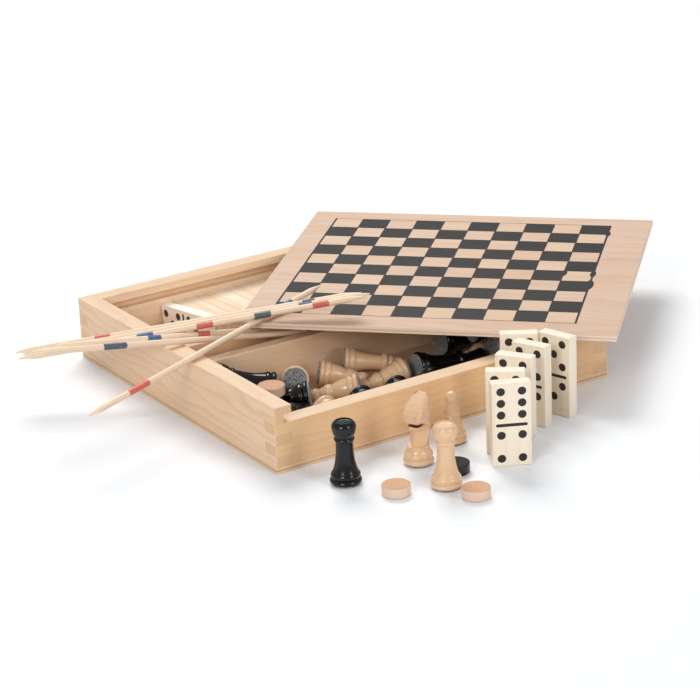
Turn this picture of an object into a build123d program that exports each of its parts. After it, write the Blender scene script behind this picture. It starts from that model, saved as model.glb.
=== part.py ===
from build123d import *
from math import asin, cos, degrees, radians, sin, sqrt
import os

os.makedirs("parts", exist_ok=True)

# Games compendium box: a square wooden case with a sliding chequered lid, which holds a chess
# set, draughts, dominoes and pick-up sticks. Millimetres, +Z up. The origin is the middle of
# the case's underside, +X runs along the low front wall and +Y runs to the back wall.

# ---------------------------------------------------------------- driving dimensions

# Case
case_length = 190.0
case_depth = 190.0
case_height = 32.0
wall = 9.0
base_thickness = 3.0
fingers = 4
corner_radius = 0.8
top_edge_radius = 0.6

# Lid and the groove that it slides in
lid_thickness = 3.0
lid_side_play = 1.5
lid_edge_radius = 0.4
groove_height = 4.0
groove_depth = 4.0
groove_lip = 4.0

# The lid lies askew. Its near edge's middle is placed from the case's front left corner.
lid_heading = -45.56
lid_edge_from_left = 105.2
lid_edge_from_front = 34.5

# Dividers
front_divider_thickness = 6.5
back_divider_thickness = 6.0
near_bay_width = 77.5
channel_width = 18.0
divider_tenon = 3.0

# Clearances
seat = 0.3
row_gap = 0.2
lean_gap = 1.2
stack_gap = 0.1

# Turned pieces
felt_thickness = 0.7
felt_inset = 0.1
pawn_height = 25.0
pawn_foot = 6.75
pawn_ball = 3.15
pawn_collar = 4.0
rook_height = 30.0
rook_foot = 7.25
rook_head = 5.5
rook_collar = 4.65
rook_brow = 3.2
rook_waist = 3.95
knight_height = 33.0
knight_foot = 7.15
knight_stem = 9.5
knight_thickness = 7.2
bishop_height = 36.0
bishop_foot = 7.0
bishop_collar = 5.0
bishop_collar_z = 20.5
bishop_ball = 1.5
queen_height = 40.5
queen_foot = 7.3
queen_head = 4.9
queen_brow = 4.0
king_height = 43.5
king_foot = 7.4
king_head = 5.0
king_brow = 6.4

# Draughts, dominoes and sticks
draught_diameter = 13.0
draught_thickness = 4.8
draught_rim_radius = 0.45
domino_width = 18.0
domino_length = 40.0
domino_thickness = 6.0
domino_edge_radius = 0.5
stick_diameter = 3.0
stick_end_play = 1.0
stick_point = 8.0
stick_tip_diameter = 0.6

# ---------------------------------------------------------------- values worked out from them

half_length = case_length / 2
half_depth = case_depth / 2
inner_x = half_length - wall
inner_y = half_depth - wall
groove_top = case_height - groove_lip
front_height = groove_top - groove_height
finger_height = (front_height - base_thickness) / fingers

divider_front_y = -inner_y + near_bay_width
channel_front_y = divider_front_y + front_divider_thickness
channel_back_y = channel_front_y + channel_width
far_bay_y = channel_back_y + back_divider_thickness
floor_z = base_thickness
lid_z = case_height
lid_width = 2 * (inner_x + groove_depth - lid_side_play)
lid_length = case_depth - wall + groove_depth
stick_length = 2 * (inner_x - stick_end_play)


# ---------------------------------------------------------------- case

# The case's outer shape, with all its outer corners eased. Each wall is cut back to it.
with BuildPart() as case_block:
    with BuildSketch():
        RectangleRounded(case_length, case_depth, corner_radius)
    extrude(amount=case_height)
    fillet(case_block.faces().sort_by(Axis.Z)[-1].edges(), top_edge_radius)


def side_fingers(side_x):
    # Boxes of the end walls' fingers at the four corners, as places for a side wall's notches.
    places = []
    for end_y in (-1, 1):
        for level in range(1, fingers, 2):
            z = base_thickness + (level + 0.5) * finger_height
            places.append((side_x, end_y * (half_depth - wall / 2), z))
    return places


def divider_middles():
    # Each divider's middle in Y, with its thickness.
    return (
        (divider_front_y + front_divider_thickness / 2, front_divider_thickness),
        (channel_back_y + back_divider_thickness / 2, back_divider_thickness),
    )


with BuildPart() as base_panel:
    with Locations((0, 0, base_thickness / 2)):
        Box(case_length, case_depth, base_thickness)
    add(case_block.part, mode=Mode.INTERSECT)
base_panel.part.label = "base_panel"
export_step(base_panel.part, "parts/base_panel.step")


# A side wall: finger notches for the end walls, a groove for the lid that is open at the
# front, and a housing for each divider.
for side_name, side in (("left_wall", -1), ("right_wall", 1)):
    wall_x = side * (half_length - wall / 2)
    with BuildPart() as side_wall:
        with Locations((wall_x, 0, (base_thickness + case_height) / 2)):
            Box(wall, case_depth, case_height - base_thickness)
        add(case_block.part, mode=Mode.INTERSECT)
        with Locations(*side_fingers(wall_x)):
            Box(wall, wall, finger_height, mode=Mode.SUBTRACT)
        with Locations((side * (inner_x + groove_depth / 2), -wall / 2 + groove_depth / 2,
                        front_height + groove_height / 2)):
            Box(groove_depth, case_depth - wall + groove_depth, groove_height,
                mode=Mode.SUBTRACT)
        for middle_y, thickness in divider_middles():
            with Locations((side * (inner_x + divider_tenon / 2), middle_y,
                            (base_thickness + front_height) / 2)):
                Box(divider_tenon, thickness, front_height - base_thickness,
                    mode=Mode.SUBTRACT)
    side_wall.part.label = side_name
    export_step(side_wall.part, f"parts/{side_name}.step")


# The front wall ends at the floor of the lid's groove, so that the lid slides out over it.
# Its fingers and the side walls' fingers fill the corners between them.
def side_notches(end_y):
    places = []
    for side in (-1, 1):
        for level in range(0, fingers, 2):
            z = base_thickness + (level + 0.5) * finger_height
            places.append((side * (half_length - wall / 2), end_y, z))
    return places


front_wall_y = -(half_depth - wall / 2)
with BuildPart() as front_wall:
    with Locations((0, front_wall_y, (base_thickness + front_height) / 2)):
        Box(case_length, wall, front_height - base_thickness)
    add(case_block.part, mode=Mode.INTERSECT)
    with Locations(*side_notches(front_wall_y)):
        Box(wall, wall, finger_height, mode=Mode.SUBTRACT)
front_wall.part.label = "front_wall"
export_step(front_wall.part, "parts/front_wall.step")

back_wall_y = half_depth - wall / 2
with BuildPart() as back_wall:
    with Locations((0, back_wall_y, (base_thickness + front_height) / 2)):
        Box(case_length, wall, front_height - base_thickness)
    with Locations((0, back_wall_y, (front_height + case_height) / 2)):
        Box(2 * inner_x, wall, case_height - front_height)
    add(case_block.part, mode=Mode.INTERSECT)
    with Locations(*side_notches(back_wall_y)):
        Box(wall, wall, finger_height, mode=Mode.SUBTRACT)
    with Locations((0, inner_y + groove_depth / 2, front_height + groove_height / 2)):
        Box(2 * inner_x, groove_depth, groove_height, mode=Mode.SUBTRACT)
back_wall.part.label = "back_wall"
export_step(back_wall.part, "parts/back_wall.step")


# Each divider stands on the base and ends in the side walls' housings.
for divider_name, (middle_y, thickness) in zip(
        ("divider_front", "divider_back"), divider_middles()):
    with BuildPart() as divider:
        with Locations((0, middle_y, (base_thickness + front_height) / 2)):
            Box(2 * (inner_x + divider_tenon), thickness, front_height - base_thickness)
        long_top_edges = divider.edges().filter_by(Axis.X).group_by(Axis.Z)[-1]
        fillet(long_top_edges, top_edge_radius)
    divider.part.label = divider_name
    export_step(divider.part, f"parts/{divider_name}.step")


# The lid is out of its grooves: it lies askew on the back and right walls.
lid_edge_plane = Plane(
    origin=(-half_length + lid_edge_from_left, -half_depth + lid_edge_from_front, lid_z),
    x_dir=(cos(radians(lid_heading)), sin(radians(lid_heading)), 0),
    z_dir=(0, 0, 1),
)
lid_plane = lid_edge_plane.offset(0)
lid_plane.origin = lid_edge_plane.from_local_coords((0, lid_width / 2, 0))
with BuildPart() as sliding_lid:
    with BuildSketch(lid_plane):
        Rectangle(lid_length, lid_width)
    extrude(amount=lid_thickness)
    fillet(sliding_lid.edges(), lid_edge_radius)
sliding_lid.part.label = "sliding_lid"
export_step(sliding_lid.part, "parts/sliding_lid.step")


# ---------------------------------------------------------------- turned pieces

# Heights of the foot's two beads above the felt, shared by every turned piece.
bead_middle = 1.2
bead_top = 2.3
step_top = 2.6
second_middle = 3.7
foot_top = 5.4
step_in = 0.9


def draw_foot(foot):
    # Inside a BuildLine: the underside, a round bead, a fine step and a second bead.
    base = felt_thickness
    Line((0, base), (foot - step_in, base))
    ThreePointArc((foot - step_in, base), (foot, base + bead_middle),
                  (foot - 0.7, base + bead_top))
    Line((foot - 0.7, base + bead_top), (foot - 1.0, base + step_top))
    ThreePointArc((foot - 1.0, base + step_top), (foot - 0.55, base + second_middle),
                  (foot - 1.3, base + foot_top))


with BuildPart() as pawn:
    collar_middle = pawn_height - 2 * pawn_ball - 3.3
    collar_half = 1.9
    neck = pawn_ball - 0.6
    ball_middle = pawn_height - pawn_ball
    with BuildSketch(Plane.XZ):
        with BuildLine():
            draw_foot(pawn_foot)
            Spline((pawn_foot - 1.3, felt_thickness + foot_top),
                   (pawn_foot - 2.6, collar_middle - 3.6),
                   (pawn_collar - 0.5, collar_middle - collar_half))
            ThreePointArc((pawn_collar - 0.5, collar_middle - collar_half),
                          (pawn_collar, collar_middle),
                          (pawn_collar - 0.6, collar_middle + collar_half))
            ball_foot = ball_middle - sqrt(pawn_ball**2 - neck**2)
            Line((pawn_collar - 0.6, collar_middle + collar_half), (neck, ball_foot))
            ThreePointArc((neck, ball_foot), (pawn_ball, ball_middle), (0, pawn_height))
            Line((0, pawn_height), (0, felt_thickness))
        make_face()
    revolve(axis=Axis.Z)

with BuildPart() as rook:
    head_bottom = rook_height - 7.1
    collar_top = head_bottom - 0.4
    collar_bottom = collar_top - 1.9
    with BuildSketch(Plane.XZ):
        with BuildLine():
            draw_foot(rook_foot)
            Spline((rook_foot - 1.3, felt_thickness + foot_top),
                   (rook_waist + 0.85, 9.7),
                   (rook_waist + 0.1, rook_height / 2),
                   (rook_waist, collar_bottom))
            ThreePointArc((rook_waist, collar_bottom),
                          (rook_collar, (collar_bottom + collar_top) / 2),
                          (rook_waist + 0.2, collar_top))
            Line((rook_waist + 0.2, collar_top), (rook_waist + 0.25, head_bottom))
            Spline((rook_waist + 0.25, head_bottom), (rook_head - 0.2, rook_height - 4.4),
                   (rook_head, rook_height - 3.2))
            ThreePointArc((rook_head, rook_height - 3.2), (rook_head - 0.35, rook_height - 1.1),
                          (rook_head - 1.5, rook_height))
            Polyline((rook_head - 1.5, rook_height), (rook_head - 2.2, rook_height - 0.6),
                     (0, rook_height - 0.6), (0, felt_thickness))
        make_face()
    revolve(axis=Axis.Z)

with BuildPart() as bishop:
    collar_low = bishop_collar_z - 1.8
    collar_high = bishop_collar_z + 1.8
    ring_high = collar_high + 2.6
    tip_neck = 0.9
    ball_middle = bishop_height - bishop_ball
    cone_top = ball_middle - sqrt(bishop_ball**2 - tip_neck**2)
    with BuildSketch(Plane.XZ):
        with BuildLine():
            draw_foot(bishop_foot)
            Spline((bishop_foot - 1.3, felt_thickness + foot_top), (4.3, 10.5),
                   (3.7, collar_low - 1), (3.7, collar_low))
            ThreePointArc((3.7, collar_low), (bishop_collar, (collar_low + collar_high) / 2),
                          (3.4, collar_high))
            ThreePointArc((3.4, collar_high), (3.9, (collar_high + ring_high) / 2),
                          (3.1, ring_high))
            Spline((3.1, ring_high), (2.9, (ring_high + cone_top) / 2),
                   (tip_neck, cone_top))
            ThreePointArc((tip_neck, cone_top), (bishop_ball, ball_middle),
                          (0, bishop_height))
            Line((0, bishop_height), (0, felt_thickness))
        make_face()
    revolve(axis=Axis.Z)

with BuildPart() as queen:
    collar_low = queen_height * 0.56
    collar_high = collar_low + 3.4
    head_low = collar_high + 1.6
    crown_top = queen_height - 3.2
    finial = 1.7
    finial_neck = 1.3
    finial_foot = queen_height - finial - sqrt(finial**2 - finial_neck**2)
    with BuildSketch(Plane.XZ):
        with BuildLine():
            draw_foot(queen_foot)
            Spline((queen_foot - 1.3, felt_thickness + foot_top), (4.5, 11.0),
                   (3.8, collar_low - 4), (3.7, collar_low))
            ThreePointArc((3.7, collar_low), (5.1, (collar_low + collar_high) / 2),
                          (3.5, collar_high))
            Line((3.5, collar_high), (3.3, head_low))
            Spline((3.3, head_low), (4.0, crown_top - 4), (queen_head, crown_top - 0.8))
            ThreePointArc((queen_head, crown_top - 0.8), (queen_head - 0.2, crown_top - 0.2),
                          (queen_head - 0.8, crown_top))
            Polyline((queen_head - 0.8, crown_top), (finial_neck, crown_top),
                     (finial_neck, finial_foot))
            ThreePointArc((finial_neck, finial_foot), (finial, queen_height - finial),
                          (0, queen_height))
            Line((0, queen_height), (0, felt_thickness))
        make_face()
    revolve(axis=Axis.Z)

with BuildPart() as king:
    collar_low = king_height * 0.55
    collar_high = collar_low + 3.4
    head_low = collar_high + 1.6
    crown_top = king_height - 5.2
    cross_width = 4.4
    cross_bar = 1.6
    with BuildSketch(Plane.XZ):
        with BuildLine():
            draw_foot(king_foot)
            Spline((king_foot - 1.3, felt_thickness + foot_top), (4.6, 11.5),
                   (3.9, collar_low - 4), (3.8, collar_low))
            ThreePointArc((3.8, collar_low), (5.2, (collar_low + collar_high) / 2),
                          (3.6, collar_high))
            Line((3.6, collar_high), (3.4, head_low))
            Spline((3.4, head_low), (4.0, crown_top - 5), (king_head, crown_top - 1.2))
            ThreePointArc((king_head, crown_top - 1.2), (king_head - 1.6, crown_top - 0.2),
                          (0, crown_top + 0.2))
            Line((0, crown_top + 0.2), (0, felt_thickness))
        make_face()
    revolve(axis=Axis.Z)
    with Locations((0, 0, (crown_top + king_height) / 2 - 0.4)):
        Box(cross_bar, cross_bar, king_height - crown_top + 0.8)
    with Locations((0, 0, king_height - 2.2)):
        Box(cross_width, cross_bar, cross_bar)
    cross_edges = king.edges().filter_by(GeomType.LINE).group_by(Axis.Z)[-1]
    fillet(cross_edges, 0.3)

# The knight's foot is turned and its horse's head is sawn from a flat board.
with BuildPart() as knight:
    with BuildSketch(Plane.XZ):
        with BuildLine():
            draw_foot(knight_foot)
            Spline((knight_foot - 1.3, felt_thickness + foot_top), (5.1, knight_stem - 1.6),
                   (4.9, knight_stem))
            Line((4.9, knight_stem), (0, knight_stem))
            Line((0, knight_stem), (0, felt_thickness))
        make_face()
    revolve(axis=Axis.Z)
    with BuildSketch(Plane.XZ.offset(-knight_thickness / 2)):
        with BuildLine():
            Polyline((4.6, knight_stem - 0.5), (-4.6, knight_stem - 0.5))
            Spline((-4.6, knight_stem - 0.5), (-5.0, knight_stem + 7), (-4.2, knight_height - 8),
                   (-1.5, knight_height))
            Polyline((-1.5, knight_height), (0.6, knight_height - 2.4),
                     (5.4, knight_height - 8.2), (5.9, knight_height - 11.3),
                     (3.0, knight_height - 12.2), (5.2, knight_height - 13.4),
                     (4.8, knight_height - 14.5), (1.3, knight_height - 15.5))
            Spline((1.3, knight_height - 15.5), (3.8, knight_stem + 4),
                   (4.6, knight_stem - 0.5))
        make_face()
    extrude(amount=knight_thickness)


def felt_disc(foot):
    # The felt under a foot, a little smaller than the foot's flat underside.
    with BuildPart() as disc:
        with BuildSketch():
            Circle(foot - step_in - felt_inset)
        extrude(amount=felt_thickness)
    return disc.part


# ---------------------------------------------------------------- places of turned pieces

def pointing(x, y, z, heading, pitch):
    # A piece whose felt's middle is at (x, y, z) and whose head points along heading, pitch up.
    turn = radians(heading)
    rise = radians(pitch)
    axis = (cos(turn) * cos(rise), sin(turn) * cos(rise), sin(rise))
    return Plane(origin=(x, y, z), x_dir=(-sin(turn), cos(turn), 0), z_dir=axis)


def standing(x, y, heading=0.0):
    turn = radians(heading)
    return Plane(origin=(x, y, 0), x_dir=(cos(turn), sin(turn), 0), z_dir=(0, 0, 1))


def in_front(from_left, from_front, heading=0.0):
    # Standing before the case, at distances from its left side and its front.
    return standing(-half_length + from_left, -half_depth - from_front, heading)


def lying(x, y, heading, foot, head, reach):
    # On its side on the bay's floor: the foot's rim and the head both touch the floor.
    rim = felt_thickness + bead_middle
    drop = asin((foot - head) / (reach - rim))
    z = floor_z + seat + foot * cos(drop) + rim * sin(drop)
    return pointing(x, y, z, heading, -degrees(drop))


def pawn_lying(x, y, heading):
    return lying(x, y, heading, pawn_foot, pawn_ball, pawn_height - pawn_ball)


def rook_lying(x, y, heading):
    return lying(x, y, heading, rook_foot, rook_head, rook_height - rook_brow)


def knight_lying(x, y, heading):
    return lying(x, y, heading, knight_foot, knight_thickness / 2, knight_height - seat)


def bishop_lying(x, y, heading):
    return lying(x, y, heading, bishop_foot, bishop_collar, bishop_collar_z)


def queen_lying(x, y, heading):
    return lying(x, y, heading, queen_foot, queen_head, queen_height - queen_brow)


def king_lying(x, y, heading):
    return lying(x, y, heading, king_foot, king_head, king_height - king_brow)


def write_group(name, shape, places):
    # One node: a copy of the shape at each place.
    with BuildPart() as group:
        with Locations(*places):
            add(shape)
    group.part.label = name
    export_step(group.part, f"parts/{name}.step")


# In front of the case, standing
standing_pieces = {
    "black_rook": (rook, rook_foot, in_front(19.4, 26.9)),
    "light_rook": (rook, rook_foot, in_front(52.2, 57.8)),
    "light_pawn": (pawn, pawn_foot, in_front(83.6, 18.4)),
    "light_knight": (knight, knight_foot, in_front(57.5, 28.8, -137.0)),
}
for piece_name, (shape, foot, place) in standing_pieces.items():
    write_group(piece_name, shape.part, [place])
    write_group(f"{piece_name}_felt", felt_disc(foot), [place])


# In the near bay's left part: a loose heap. Its places are counted from the corner between
# the left wall and the front divider.
def heap(from_wall, from_divider):
    return (-inner_x + from_wall, divider_front_y - from_divider)


heap_rook = pointing(*heap(32.5, 18.0), 10.6, 152, 18)
heap_pawn_on_top = pointing(*heap(40.7, 23.7), 14.1, 57.6, -20)
heap_knight = knight_lying(*heap(40.0, 38.0), 147.6)
wall_knight = knight_lying(*heap(1.1, 44.5), 0)
heap_pawn_near_divider = pawn_lying(*heap(59.4, 14.4), -32.4)
heap_pawn_in_middle = pawn_lying(*heap(66.0, 41.7), 147.6)
heap_bishop = bishop_lying(*heap(77.7, 8.7), -32.4)
heap_pawn_at_right = pawn_lying(*heap(94.9, 38.0), 172.6)
heap_queen = queen_lying(*heap(99.6, 39.5), -6.9)

# Along the front wall: a strip of pawns, head to tail.
strip_count = 11
strip_pitch = pawn_foot + pawn_ball + row_gap
strip = []
for index in range(strip_count):
    x = -inner_x + pawn_foot + seat + index * strip_pitch
    if index % 2 == 0:
        strip.append(pawn_lying(x, -inner_y + lean_gap, 90))
    else:
        strip.append(pawn_lying(x, -inner_y + pawn_height + row_gap, -90))

# At the right wall: six rows, head to tail. A foot and the next row's head set each distance.
foot_x = inner_x - lean_gap
row_y = -inner_y + king_foot + row_gap
row_king = king_lying(inner_x - king_height - seat, row_y, 0)
row_y += king_head + queen_foot + row_gap
row_queen = queen_lying(foot_x, row_y, 180)
row_y += queen_foot + rook_head + row_gap
row_rook = rook_lying(inner_x - rook_height - seat, row_y, 0)
row_y += rook_head + bishop_foot + row_gap
row_bishop = bishop_lying(foot_x, row_y, 180)
row_y += bishop_foot + king_head + row_gap
second_row_king = king_lying(inner_x - king_height - seat, row_y, 0)
row_y += king_head + knight_foot + row_gap
row_knight = knight_lying(foot_x, row_y, 180)

# Two bishops lie on the rows, each in the hollow between two of them.
on_rows_x = inner_x - 38.0
bishop_on_rows = pointing(on_rows_x, -inner_y + 14.0, 22.5, 0, 0)
second_bishop_on_rows = pointing(on_rows_x, -inner_y + 39.2, 21.3, 0, 0)

bay_groups = {
    "bay_black_rook": (rook, rook_foot, [heap_rook]),
    "bay_black_knights": (knight, knight_foot, [heap_knight, wall_knight]),
    "bay_black_bishops": (bishop, bishop_foot, [bishop_on_rows, second_bishop_on_rows]),
    "bay_black_queen": (queen, queen_foot, [heap_queen]),
    "bay_black_king": (king, king_foot, [second_row_king]),
    "bay_black_pawns": (pawn, pawn_foot, strip[:2] + strip[4:10]),
    "bay_light_rook": (rook, rook_foot, [row_rook]),
    "bay_light_knight": (knight, knight_foot, [row_knight]),
    "bay_light_bishops": (bishop, bishop_foot, [heap_bishop, row_bishop]),
    "bay_light_queen": (queen, queen_foot, [row_queen]),
    "bay_light_king": (king, king_foot, [row_king]),
    "bay_light_pawns": (pawn, pawn_foot, [
        heap_pawn_on_top, heap_pawn_near_divider, heap_pawn_in_middle, heap_pawn_at_right,
        strip[2], strip[3], strip[10]]),
}
with BuildPart() as bay_felt_pads:
    for group_name, (shape, foot, places) in bay_groups.items():
        with Locations(*places):
            Cylinder(foot - step_in - felt_inset, felt_thickness,
                     align=(Align.CENTER, Align.CENTER, Align.MIN))
bay_felt_pads.part.label = "bay_felt_pads"
export_step(bay_felt_pads.part, "parts/bay_felt_pads.step")
for group_name, (shape, foot, places) in bay_groups.items():
    write_group(group_name, shape.part, places)


# ---------------------------------------------------------------- draughts

with BuildPart() as draught:
    with BuildSketch():
        Circle(draught_diameter / 2)
    extrude(amount=draught_thickness)
    fillet(draught.edges(), draught_rim_radius)

write_group("black_draught", draught.part, [in_front(65.0, 46.9)])
write_group("light_draught_left", draught.part, [in_front(30.6, 50.1)])
write_group("light_draught_right", draught.part, [in_front(56.3, 74.3)])

# One lies on the heap's knight.
heap_draught_z = floor_z + 10.1
write_group("bay_light_draught", draught.part,
            [Plane(origin=(*heap(23.5, 30.0), heap_draught_z))])

# The others are stacked in two staggered rows along the back divider.
stack_size = 4
stack_spacing = 17.6
stacks_in_front = 5
stacks_behind = 4
front_stack_y = far_bay_y + draught_diameter / 2 + seat
stack_reach = draught_diameter + stack_gap
behind_stack_y = front_stack_y + sqrt(stack_reach**2 - (stack_spacing / 2) ** 2)
right_stack_x = inner_x - draught_diameter / 2 - seat
stack_places = []
for index in range(stacks_in_front):
    stack_places.append((right_stack_x - index * stack_spacing, front_stack_y))
for index in range(stacks_behind):
    stack_places.append((right_stack_x - (index + 0.5) * stack_spacing, behind_stack_y))
last_stack = stacks_in_front + stacks_behind - 1
light_stacked = []
black_stacked = []
for index, (x, y) in enumerate(stack_places):
    for level in range(stack_size):
        z = floor_z + level * (draught_thickness + stack_gap)
        place = Plane(origin=(x, y, z))
        light_stack = index % 2 == 0 and index != last_stack
        last_one = index == last_stack and level == 0
        (light_stacked if light_stack or last_one else black_stacked).append(place)
write_group("stacked_light_draughts", draught.part, light_stacked)
write_group("stacked_black_draughts", draught.part, black_stacked)


# ---------------------------------------------------------------- dominoes

# Its face looks along -Y, its length stands up, and its origin is the face's lower edge.
with BuildPart() as domino:
    with BuildSketch():
        with Locations((0, domino_thickness / 2)):
            Rectangle(domino_width, domino_thickness)
    extrude(amount=domino_length)
    fillet(domino.edges(), domino_edge_radius)

standing_dominoes = (
    in_front(88.5, 57.9, -26.9),
    in_front(94.7, 45.0, -38.1),
    in_front(108.8, 32.0, -58.6),
    in_front(123.3, 24.5, -68.7),
    in_front(140.0, 22.1, -73.7),
    in_front(128.4, 10.9, -35.0),
)
for number, place in enumerate(standing_dominoes, start=1):
    write_group(f"domino_{number}", domino.part, [place])


# In the far bay the dominoes stand on their long edges with their faces to the left. The
# file leans against the right wall, turned a little, and the first one is tipped up.
def filed(x, y, z, turn, tip):
    yaw = radians(turn)
    rise = radians(tip)
    length = (-sin(yaw) * cos(rise), cos(yaw) * cos(rise), -sin(rise))
    width = (-sin(yaw) * sin(rise), cos(yaw) * sin(rise), cos(rise))
    return Plane(origin=(x, y, z), x_dir=width, z_dir=length)


file_count = 21
file_unevenness = 0.1
file_turn = 3.0
file_pitch = (domino_thickness + stack_gap) / cos(radians(file_turn))
file_depth = (domino_length * cos(radians(file_turn))
              + domino_thickness * sin(radians(file_turn)))
file_front_y = inner_y - stack_gap - file_depth
file_z = floor_z + domino_width / 2
file_places = []
for index in range(file_count):
    x = inner_x - seat - (index + 1) * file_pitch
    forward = file_unevenness * (index * 3 % 4)
    file_places.append(filed(x, file_front_y - forward, file_z, file_turn, 0))
write_group("filed_dominoes", domino.part, file_places)

first_turn = 4.6
first_tip = 5.0
first_gap = 0.9
first_forward = 0.6
first_x = inner_x - seat - file_count * file_pitch - domino_thickness - first_gap
first_z = file_z + domino_length * sin(radians(first_tip)) + seat
write_group("bay_domino", domino.part,
            [filed(first_x, file_front_y - first_forward, first_z, first_turn, first_tip)])


# ---------------------------------------------------------------- pick-up sticks

# A stick lies along Z about its middle, with a long point at each end.
stick_radius = stick_diameter / 2
with BuildPart() as stick:
    with BuildSketch(Plane.XZ):
        with BuildLine():
            Polyline(
                (0, -stick_length / 2),
                (stick_tip_diameter / 2, -stick_length / 2),
                (stick_radius, -stick_length / 2 + stick_point),
                (stick_radius, stick_length / 2 - stick_point),
                (stick_tip_diameter / 2, stick_length / 2),
                (0, stick_length / 2),
                close=True,
            )
        make_face()
    revolve(axis=Axis.Z)

# Twenty-five fill the channel in layers, each layer half a pitch beside the one below.
layers = 5
sticks_in_layer = 5
stick_pitch = stick_diameter + 0.2
layer_rise = sqrt((stick_diameter + row_gap) ** 2 - (stick_pitch / 2) ** 2)
layer_width = (sticks_in_layer - 0.5) * stick_pitch
layer_shift = 0.6
channel_middle_y = (channel_front_y + channel_back_y) / 2
channel_places = []
for layer in range(layers):
    for index in range(sticks_in_layer):
        y = channel_middle_y - layer_width / 2 + (index + layer % 2 / 2) * stick_pitch
        z = floor_z + seat + stick_radius + layer * layer_rise
        along = layer_shift * ((index * 2 + layer) % 3 - 1)
        channel_places.append(pointing(along, y, z, 0, 0))
write_group("channel_sticks", stick.part, channel_places)


# Six lie on top. Two run from the left wall's inner top edge down into the channel.
def across_wall(wall_x, wall_y, heading, pitch, before):
    # A stick whose middle line passes one seat above the left wall's top at (wall_x, wall_y),
    # with the given length before that point.
    z = lid_z + seat + stick_radius / cos(radians(pitch))
    place = pointing(wall_x, wall_y, z, heading, pitch)
    middle = place.origin + place.z_dir * (stick_length / 2 - before)
    return pointing(middle.X, middle.Y, middle.Z, heading, pitch)


def into_channel(from_channel_front, heading, before):
    # From the left wall's inner edge down to a tip just above the channel's top layer.
    top_layer_z = floor_z + seat + stick_diameter + (layers - 1) * layer_rise
    drop = lid_z + seat + stick_radius - (top_layer_z + tip_clearance)
    pitch = -degrees(asin(drop / (stick_length - before)))
    return across_wall(-inner_x, channel_front_y + from_channel_front, heading, pitch, before)


tip_clearance = 1.77
outer_edge_x = -half_length
top_sticks = {
    "stick_into_channel_back": into_channel(11.4, -3.3, 66.0),
    "stick_into_channel_front": into_channel(3.6, -1.2, 78.5),
    "stick_diagonal": across_wall(outer_edge_x, channel_front_y - 18.9, 19.46, 3.4, 69.9),
    "stick_crossing_front": across_wall(outer_edge_x, channel_front_y + 20.9, -28.5, 6.8, 64.0),
    "stick_crossing_middle": across_wall(outer_edge_x, channel_front_y + 24.8, -28.5, 6.6, 60.0),
    "stick_crossing_back": across_wall(outer_edge_x, channel_front_y + 28.7, -28.5, 6.4, 62.0),
}
for stick_name, place in top_sticks.items():
    write_group(stick_name, stick.part, [place])
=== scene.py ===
import bpy
import bmesh
from math import cos, pi, radians, sin
from mathutils import Matrix, Vector


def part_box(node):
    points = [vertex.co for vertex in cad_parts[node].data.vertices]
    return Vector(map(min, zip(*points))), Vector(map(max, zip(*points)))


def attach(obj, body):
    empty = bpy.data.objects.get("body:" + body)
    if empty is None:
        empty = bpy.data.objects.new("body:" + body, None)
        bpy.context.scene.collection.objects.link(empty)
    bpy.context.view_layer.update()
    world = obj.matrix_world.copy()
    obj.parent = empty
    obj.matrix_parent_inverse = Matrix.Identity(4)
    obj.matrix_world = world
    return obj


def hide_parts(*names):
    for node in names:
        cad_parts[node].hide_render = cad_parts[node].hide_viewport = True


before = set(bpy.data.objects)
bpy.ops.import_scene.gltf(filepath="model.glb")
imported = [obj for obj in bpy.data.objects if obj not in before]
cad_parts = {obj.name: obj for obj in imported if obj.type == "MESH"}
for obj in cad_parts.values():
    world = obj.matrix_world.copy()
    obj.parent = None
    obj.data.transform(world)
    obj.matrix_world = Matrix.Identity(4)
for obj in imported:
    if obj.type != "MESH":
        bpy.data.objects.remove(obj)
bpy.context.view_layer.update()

scene = bpy.context.scene
upward = (0, 0, 1)
perMetre = 1000.0  # millimetres


def tone(red, green, blue):
    # a display colour, 0 to 255, as the linear colour that the shaders take
    linear = []
    for value in (red, green, blue):
        v = value / 255
        linear.append(v / 12.92 if v <= 0.04045 else ((v + 0.055) / 1.055) ** 2.4)
    return (*linear, 1.0)


# node helpers

def plug(tree, value, socket):
    if isinstance(value, bpy.types.NodeSocket):
        tree.links.new(value, socket)
    else:
        socket.default_value = value


def addNode(tree, kind, values=None, **settings):
    made = tree.nodes.new("ShaderNode" + kind)
    for name, setting in settings.items():
        setattr(made, name, setting)
    for key, value in (values or {}).items():
        plug(tree, value, made.inputs[key])
    return made


def maths(tree, operation, first, second=0.0, third=0.0, clamp=False):
    values = {0: first, 1: second, 2: third}
    return addNode(tree, "Math", values, operation=operation, use_clamp=clamp).outputs[0]


def vectorMaths(tree, operation, first, second=(0, 0, 0)):
    made = addNode(tree, "VectorMath", {0: first, 1: second}, operation=operation)
    single = operation in ("DISTANCE", "DOT_PRODUCT", "LENGTH")
    return made.outputs["Value" if single else "Vector"]


def splitAxes(tree, vector):
    return addNode(tree, "SeparateXYZ", {0: vector}).outputs


def mixColours(tree, factor, first, second):
    made = addNode(tree, "Mix", {0: factor, 6: first, 7: second}, data_type="RGBA")
    return made.outputs[2]


def rampBetween(tree, value, low, high):
    # 0 below low, 1 above high, smooth between them
    made = addNode(tree, "MapRange", {"Value": value, "From Min": low, "From Max": high},
                   interpolation_type="SMOOTHSTEP")
    return made.outputs["Result"]


def noiseAt(tree, vector, scale=1.0, detail=2.0, roughness=0.5):
    made = addNode(tree, "TexNoise", {
        "Vector": vector, "Scale": scale, "Detail": detail, "Roughness": roughness})
    return made.outputs["Fac"]


def ownPlace(tree):
    return addNode(tree, "TexCoord").outputs["Object"]


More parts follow.
